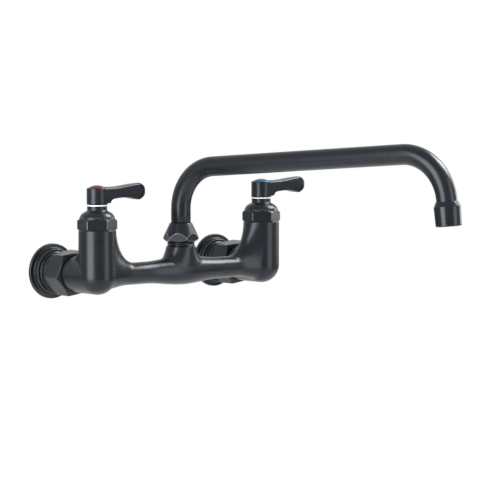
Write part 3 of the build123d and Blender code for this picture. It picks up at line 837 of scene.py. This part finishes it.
bonnet_outline += [(collar_radius, collar_bottom + 0.8, 0.4), (collar_radius, collar_top, 0.35),
                   (stem_way, collar_top), (stem_way, housing_top), (housing_bore, housing_top)]
bonnets = {}
for water, side in sides.items():
    outline = dense(eased_outline(bonnet_outline, radius=0.3), spacing=0.45)
    bonnets[water] = nut(f"{water}_bonnet", outline, corner_black, bonnet_across_flats,
                         bonnet_turn, bonnet_softness, bonnet_thread + 0.1, at_valve(side))

# %% Spout nut
spout_nut_across_flats = 30.6
spout_nut_turn = 11.0
spout_nut_softness = 0.3
spout_nut_thread = 13.4
spout_nut_thread_top = 37.0
spout_nut_bore = 9.75
spout_nut_bottom = 28.2
spout_nut_top = 46.0
spout_nut_outline = [(spout_nut_thread, spout_nut_bottom), (14.5, spout_nut_bottom, 0.3),
                     (17.9, 30.9, 0.5), (11.05, 45.4, 0.4), (10.7, spout_nut_top, 0.3),
                     (spout_nut_bore, spout_nut_top), (spout_nut_bore, spout_nut_thread_top),
                     (spout_nut_thread, spout_nut_thread_top)]
outline = dense(eased_outline(spout_nut_outline, radius=0.25), spacing=0.35)
spout_nut = nut("spout_cone_nut", outline, almond_black, spout_nut_across_flats,
                spout_nut_turn, spout_nut_softness, spout_nut_thread + 0.1, at_swivel)

# %% Coupling nuts
coupling_start = 33.2
coupling_end = 55.7
coupling_across_flats = 40.0
coupling_turn = -9.0
coupling_softness = 0.5
coupling_thread = 15.0
coupling_thread_end = 50.2
coupling_face = 18.7
coupling_chamfer = 2.4
shank_way = 13.1               # the bore of all that slides on the shank
coupling_corner = coupling_across_flats / sqrt(3)
coupling_outline = [(coupling_thread, coupling_start), (coupling_face, coupling_start, 0.5),
                    (coupling_corner, coupling_start + coupling_chamfer, 0.4),
                    (coupling_corner, coupling_end - coupling_chamfer, 0.4),
                    (coupling_face, coupling_end, 0.5), (shank_way, coupling_end),
                    (shank_way, coupling_thread_end), (coupling_thread, coupling_thread_end)]
couplings = {}
for water, side in sides.items():
    outline = dense(eased_outline(coupling_outline, radius=0.3), spacing=0.5)
    couplings[water] = nut(f"{water}_coupling", outline, faint_black, coupling_across_flats,
                           coupling_turn, coupling_softness, coupling_thread + 0.1,
                           at_inlet(side))

# %% [markdown]
# ## Wall flanges and shanks
# A cover flange is a stamped or spun plate: a thin rim at the wall, a stepped
# ring and a short hub that slides on the shank. It is round all over, so the
# lathe makes it, and three of its edges are marked for a lighter line painted
# there, which stands for a rubbed coat and a painted highlight. The shank inside
# is a plain turned pipe.

# %% Flanges and shanks
wall_to_riser = -valve_y
flange_radius = 26.7
rim_face = wall_to_riser - 2.9
ring_face = wall_to_riser - 8.4
hub_step = wall_to_riser - 15.0
sleeve_radius = 18.3
sleeve_neck = 17.0
sleeve_end = 55.9
flange_outline = [(shank_way, wall_to_riser), (flange_radius, wall_to_riser, 0.2),
                  (flange_radius, rim_face, 1.0), (22.6, rim_face - 0.2, 0.9),
                  (21.6, ring_face, 0.7), (19.2, ring_face, 0.6),
                  (sleeve_radius, ring_face - 0.9, 0.4), (sleeve_radius, hub_step, 0.5),
                  (sleeve_neck, hub_step - 0.7, 0.4), (sleeve_neck, sleeve_end + 0.6, 0.4),
                  (sleeve_neck - 0.6, sleeve_end, 0.3), (shank_way, sleeve_end)]
flange_rings = ring_marks((flange_radius - 0.3, rim_face + 0.3), (21.5, ring_face + 0.2),
                          (18.2, hub_step + 0.2))

water_way = 7.5
pipe_thread = 9.25
pipe_thread_end = 60.0
shank_radius = 12.9
shank_head = 14.8
shank_start = 47.0
shank_head_end = 50.0
shank_outline = [(water_way, shank_start), (shank_head, shank_start),
                 (shank_head, shank_head_end), (shank_radius, shank_head_end),
                 (shank_radius, wall_to_riser), (pipe_thread, wall_to_riser),
                 (pipe_thread, pipe_thread_end), (water_way, pipe_thread_end)]
flanges, shanks = {}, {}
for water, side in sides.items():
    outline = dense(eased_outline(flange_outline, radius=0.2), spacing=0.8)
    flanges[water] = lathe(f"{water}_flange", outline, faint_black, at_inlet(side),
                           steps=180, marks_at=flange_rings)
    shanks[water] = lathe(f"{water}_shank", eased_outline(shank_outline, radius=0.2), black,
                          at_inlet(side), steps=120)

# %% [markdown]
# ## Glide washers and index buttons
# Under each handle a thin nylon washer keeps metal off metal, and a coloured
# button in the handle's top says hot or cold. The button is a shallow cap of a
# ball, and its outline follows that ball's circle, so it shines like a lens.

# %% Washers and buttons
washer_bore = 7.0
washer_radius = 9.4
washer_top = collar_top + 0.9
washer_outline = [(washer_bore, collar_top), (washer_radius, collar_top),
                  (washer_radius, washer_top), (washer_bore, washer_top)]
hub_bottom = 67.4
hub_top = 83.2
button_radius = 8.4
button_foot = hub_top - 2.6
button_dome = 2.6
dome_steps = 24
dome_radius = (button_radius ** 2 + button_dome ** 2) / (2 * button_dome)
dome_angle = asin(button_radius / dome_radius)
button_outline = [(0, button_foot), (button_radius - 0.2, button_foot),
                  (button_radius, hub_top - 0.4)]
for part in range(1, dome_steps + 1):
    angle = dome_angle * (1 - part / dome_steps)
    button_outline.append((dome_radius * sin(angle),
                           hub_top + button_dome - dome_radius * (1 - cos(angle))))
washers, buttons = {}, {}
for water, colour in (("hot", hot_red), ("cold", cold_blue)):
    place = at_valve(sides[water])
    washers[water] = lathe(f"{water}_washer", eased_outline(washer_outline, radius=0.2), nylon,
                           place, steps=120)
    buttons[water] = lathe(f"{water}_button", button_outline, colour, place, steps=120)

# %% [markdown]
# ## The lever handles
# A lever is forged: a round hub that turns into a blade without a step, a top that
# rises to the end and falls a little to its sides, an underside that hangs lower
# again near the end, and a round nose with a fine groove before it. Seen from
# above it is a capsule that tapers, and seen from the side it lies between two
# curves. A cage of subdivided faces would need many fixes where the hub ends, so
# the lever is a formula like the casting: the capsule, cut by its top and its
# underside, with the edges between them eased.

# %% Lever sizes
hub_radius = 9.9
hub_edge = 0.8
blade_reach = 49.8
blade_tip_radius = 5.8
root_height = 84.0             # the blade's top where it leaves the hub
top_rise = 2.6                 # how much higher the top is near the nose
rise_start = 16.0
rise_length = 34.0
nose_fall = 0.018              # how fast the top falls again past its highest place
side_fall = 1.3                # how far the top falls from its middle to its sides
under_height = 73.6            # the underside where it is highest
waist = 30.0                   # how far out that is
paddle_length, paddle_drop = 19.0, 2.9   # how it hangs lower towards the nose,
root_length, root_drop = 20.0, 1.3       # towards the hub,
heel_length, heel_drop = 5.2, 3.2        # and in the heel right at the hub
nose_height = 79.0             # where the nose stands out furthest
nose_lag = 0.0125              # how fast it draws back above and below that
top_edge, under_edge = 1.1, 0.7
tip_groove = 50.4              # how far out the groove before the nose runs
groove_half_width = 0.85
groove_slope = 0.45            # how fast the groove narrows with its depth
groove_scale = 0.91            # turns its measure into a true distance
recess_depth = 2.7
stem_socket_radius = 4.1
stem_socket_top = 76.7
print("lever tip at", round(blade_reach + blade_tip_radius, 1), "mm from its axis")


# %% The lever's formula
def lever(x, y, z):
    """How far a point is outside the lever handle, from its own valve axis."""
    hub = eased(length(x, y) - hub_radius,
                abs(z - (hub_top + hub_bottom) / 2) - (hub_top - hub_bottom) / 2, hub_edge)
    above = z - nose_height
    lag = abs(above * above * above) * nose_lag
    along = x + lag * (x / blade_reach).clamp(0.0, 1.0)
    t = (along / blade_reach).clamp(0.0, 1.0)
    plan = length(along - t * blade_reach, y) - hub_radius + t * (hub_radius - blade_tip_radius)
    risen = eased_step((x - rise_start) / rise_length)
    past = (x - rise_start - rise_length).most(0.0)
    aside = y / hub_radius
    top = root_height + risen * top_rise - past * past * nose_fall - aside * aside * side_fall
    paddle = eased_step((x - waist) / paddle_length)
    root = (waist - x).most(0.0) / root_length
    heel = (1.0 - (x - hub_radius) / heel_length).clamp(0.0, 1.0)
    under = (under_height - paddle * paddle_drop - root * root * root_drop
             - (1.0 - (1.0 - heel * heel).root()) * heel_drop)
    blade = eased(eased(plan, z - top, top_edge), under - z, under_edge)
    groove = (abs(along - tip_groove) - groove_half_width - blade * groove_slope) * groove_scale
    blade = blade.most(-groove).most(-x)
    recess = (length(x, y) - button_radius - 0.1).most(hub_top - recess_depth - z)
    stem_socket = (length(x, y) - stem_socket_radius).most(z - stem_socket_top)
    return hub.least(blade).most(-recess).most(-stem_socket)


# %% Two levers
lever_low = (-hub_radius - 1, -hub_radius - 1, hub_bottom - 1)
lever_high = (57, hub_radius + 1, root_height + top_rise + 1.5)
lever_cell = 0.35
levers = {"hot": formula_piece("hot_lever", lever, lever_low, lever_high, lever_cell, black,
                               pulls=4)}
levers["cold"] = new_object("cold_lever", levers["hot"].data.copy())
for water, side in sides.items():
    levers[water].data.transform(at_valve(side))

# %% [markdown]
# ## The spout
# The spout is one drawn tube. Its line is straight, an arc, straight, an arc and
# straight again, and a ring of points is carried along it. The rings are closest
# together in the bends, where the shine moves fastest. A curve with a round bevel
# would give the same outside, but this way the tube has its real wall and an open
# bore at the outlet.

# %% Spout line
spout_reach = 304.8
tube_radius = 9.525
tube_wall = 1.25
tube_foot = 29.8
arm_height = 99.0
arm_rise = radians(4.25)
outlet_lean = radians(5.4)
first_bend = 42.0
last_bend = 44.6
bend_steps = 40
collar_height = 22.4
tube_above_collar = 0.67       # straight tube between the last bend and the collar
outlet_bore_depth = 13.0

# The last corner lies up the outlet's axis from its bottom: over the collar, the
# straight above it, and as far again as the bend reaches back from its corner.
bend_back = last_bend * tan((pi / 2 + arm_rise - outlet_lean) / 2)
drop = bend_back + collar_height + tube_above_collar
corner_x = spout_reach - drop * sin(outlet_lean)
outlet_corner = Vector((corner_x, 0, arm_height + corner_x * tan(arm_rise)))


def outlet_point(distance):
    """The point on the outlet's axis that far up from its bottom."""
    below = drop - distance
    return outlet_corner + Vector((below * sin(outlet_lean), 0, -below * cos(outlet_lean)))


foot, arm_corner = Vector((0, 0, tube_foot)), Vector((0, 0, arm_height))
tube_end = outlet_point(outlet_bore_depth)
spout_line = [foot]
for before, corner, after, radius in ((foot, arm_corner, outlet_corner, first_bend),
                                      (arm_corner, outlet_corner, tube_end, last_bend)):
    arc = arc_corner(before, corner, after, radius, bend_steps, most=1.0)
    spout_line += [Vector(point) for point in arc]
spout_line.append(tube_end)
print("spout line:", len(spout_line), "points, outlet at",
      tuple(round(c, 1) for c in outlet_point(0)))


# %% Tube along the line
def tube_piece(name, line, outer, inner, material, place, around=96):
    """A hollow tube along a line in the plane X-Z, open at both ends."""
    vertices, faces = [], []
    side_way = Vector((0, 1, 0))
    along_line = list(range(len(line)))
    rings = [(outer, i) for i in along_line] + [(inner, i) for i in reversed(along_line)]
    for radius, index in rings:
        ahead = line[min(index + 1, len(line) - 1)]
        behind = line[max(index - 1, 0)]
        up_way = (ahead - behind).normalized().cross(side_way)
        for step in range(around):
            angle = 2 * pi * step / around
            spoke = side_way * cos(angle) + up_way * sin(angle)
            vertices.append(line[index] + spoke * radius)
    for ring in range(len(rings)):
        after = (ring + 1) % len(rings)
        for step in range(around):
            beside = (step + 1) % around
            faces.append((ring * around + step, ring * around + beside,
                          after * around + beside, after * around + step))
    return mesh_piece(name, vertices, faces, material, place)


swing = radians(13.2 - 90)
swung = at_swivel @ Matrix.Rotation(swing, 4, "Z")
spout = tube_piece("spout_arm", spout_line, tube_radius, tube_radius - tube_wall, black, swung)

# %% Outlet collar
aerator_radius = 10.3
aerator_depth = 12.0
washer_lip = 8.3
tube_fit = tube_radius + 0.02
collar_outline = [(aerator_radius, 0), (10.9, 0, 0.2), (11.7, 0.8, 0.6), (12.3, 17.7, 0.7),
                  (10.1, collar_height, 0.3), (tube_fit, collar_height + 0.1),
                  (tube_fit, outlet_bore_depth), (washer_lip, outlet_bore_depth),
                  (washer_lip, aerator_depth), (aerator_radius, aerator_depth)]
outlet_place = (swung @ Matrix.Translation(outlet_point(0) * MM)
                @ Matrix.Rotation(-outlet_lean, 4, "Y"))
outlet = lathe("outlet_sleeve", eased_outline(collar_outline, radius=0.2), smooth_black,
               outlet_place)

# %% [markdown]
# ## What rides where
# Each new piece moves with the CAD body of the node that it stands for, and hides
# that node. The hidden inner pieces stay as they are and get their own finishes.

# %% Bodies and nodes
def stands_for(piece, body_name, slot_name, *nodes):
    """The piece rides on that body and hides those nodes."""
    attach(piece, body_name)
    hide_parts(*nodes)


stands_for(body, "fixed_body", "satin_black", "mixing_body")
stands_for(neck, "fixed_body", "satin_black", "mixing_body")
stands_for(spout_nut, "fixed_body", "satin_black", "spout_nut")
stands_for(spout, "spout", "satin_black", "spout_tube")
stands_for(outlet, "spout", "satin_black", "outlet_collar")
for water in sides:
    stands_for(bonnets[water], "fixed_body", "satin_black", f"{water}_bonnet_nut")
    stands_for(couplings[water], "fixed_body", "satin_black", f"{water}_coupling_nut")
    stands_for(flanges[water], "fixed_body", "satin_black", f"{water}_wall_flange")
    stands_for(shanks[water], "fixed_body", "satin_black", f"{water}_inlet_shank")
    stands_for(washers[water], "fixed_body", "nylon", f"{water}_glide_washer")
    stands_for(levers[water], f"{water}_handle", "satin_black", f"{water}_lever_handle")
    stands_for(buttons[water], f"{water}_handle", f"{water}_button", f"{water}_index_button")

# %% Finishes of the inner pieces
finish_of_slot = {"satin_black": black, "hot_button": hot_red, "cold_button": cold_blue,
                  "nylon": nylon, "rubber": rubber, "ceramic": ceramic, "brass": brass,
                  "steel": steel}
for part in frame["record"]["subparts"]:
    for material_slot in frame["nodes"][part["node"]].material_slots:
        material_slot.material = finish_of_slot[part["material_slot"]]

# %% [markdown]
# ## Studio
# A plain pale floor far below, a white background for the camera and for gloss,
# and four soft lamps: a tall one at the left and one in front draw the stripes on
# the risers, a large one high at the right runs its reflection along the
# crossbar, and a weak one at the far right lights the edges there. The white is
# only shown to some kinds of ray, because a world that lit the faucet as brightly
# would wash out the black.

# %% Floor
floor_size = 12.0
floor_height = -0.75
floor_corners = [(x * floor_size, y * floor_size, floor_height)
                 for x, y in ((-1, -1), (1, -1), (1, 1), (-1, 1))]


def shown_white(tree, lit, white, output, *ray_kinds):
    """Gives those kinds of ray the white shader, and all others the lit one."""
    rays = add_node(tree, "ShaderNodeLightPath").outputs
    seen = Number(tree, rays[ray_kinds[0]])
    for kind in ray_kinds[1:]:
        seen = seen.most(Number(tree, rays[kind]))
    mix = add_node(tree, "ShaderNodeMixShader", None,
                   {0: seen, 1: lit.outputs[0], 2: white.outputs[0]})
    plug(tree, mix.outputs[0], output.inputs["Surface"])


floor_mesh = bpy.data.meshes.new("floor")
floor_mesh.from_pydata(floor_corners, [], [(0, 1, 2, 3)])
floor = new_object("floor", floor_mesh)
floor_paint = bpy.data.materials.new("floor_paint")
floor_paint.use_nodes = True
floor_tree = floor_paint.node_tree
floor_shader = floor_tree.nodes["Principled BSDF"]
floor_shader.inputs["Base Color"].default_value = (0.85, 0.85, 0.85, 1)
floor_shader.inputs["Roughness"].default_value = 0.9
shown_white(floor_tree, floor_shader,
            add_node(floor_tree, "ShaderNodeEmission", None, {"Strength": 1.0}),
            floor_tree.nodes["Material Output"], "Is Camera Ray")
floor_mesh.materials.append(floor_paint)
print("floor at", floor_height, "m")

# %% World
fill_strength = 0.3
world = bpy.data.worlds.new("studio")
bpy.context.scene.world = world
world.use_nodes = True
world_tree = world.node_tree
world_tree.nodes.clear()
fill, white = [add_node(world_tree, "ShaderNodeBackground", None,
                        {"Color": (1, 1, 1, 1), "Strength": strength})
               for strength in (fill_strength, 1.0)]
shown_white(world_tree, fill, white, add_node(world_tree, "ShaderNodeOutputWorld"),
            "Is Camera Ray", "Is Glossy Ray", "Is Transmission Ray")
print("world fill:", fill_strength)

# %% Lamps
lamp_distance = 2.0
lamp_aim = Vector((0, valve_y * MM, 0.05))


def soft_lamp(name, azimuth, elevation, width, height, power):
    """A rectangular lamp that looks at the middle of the faucet."""
    a, e = radians(azimuth), radians(elevation)
    outwards = Vector((sin(a) * cos(e), -cos(a) * cos(e), sin(e)))
    data = bpy.data.lights.new(name, "AREA")
    data.shape = "RECTANGLE"
    data.size, data.size_y = width, height
    data.energy = power
    lamp = new_object(name, data)
    lamp.location = lamp_aim + outwards * lamp_distance
    lamp.rotation_euler = outwards.to_track_quat("Z", "Y").to_euler()
    print(name, power, "W")


soft_lamp("left_lamp", -80, 8, 1.35, 2.0, 100)
soft_lamp("front_lamp", 20, 5, 0.9, 2.0, 26)
soft_lamp("high_lamp", 70, 45, 1.0, 0.9, 72)
soft_lamp("right_lamp", 84, 14, 0.6, 1.2, 14)
bpy.context.scene.view_settings.view_transform = "Standard"
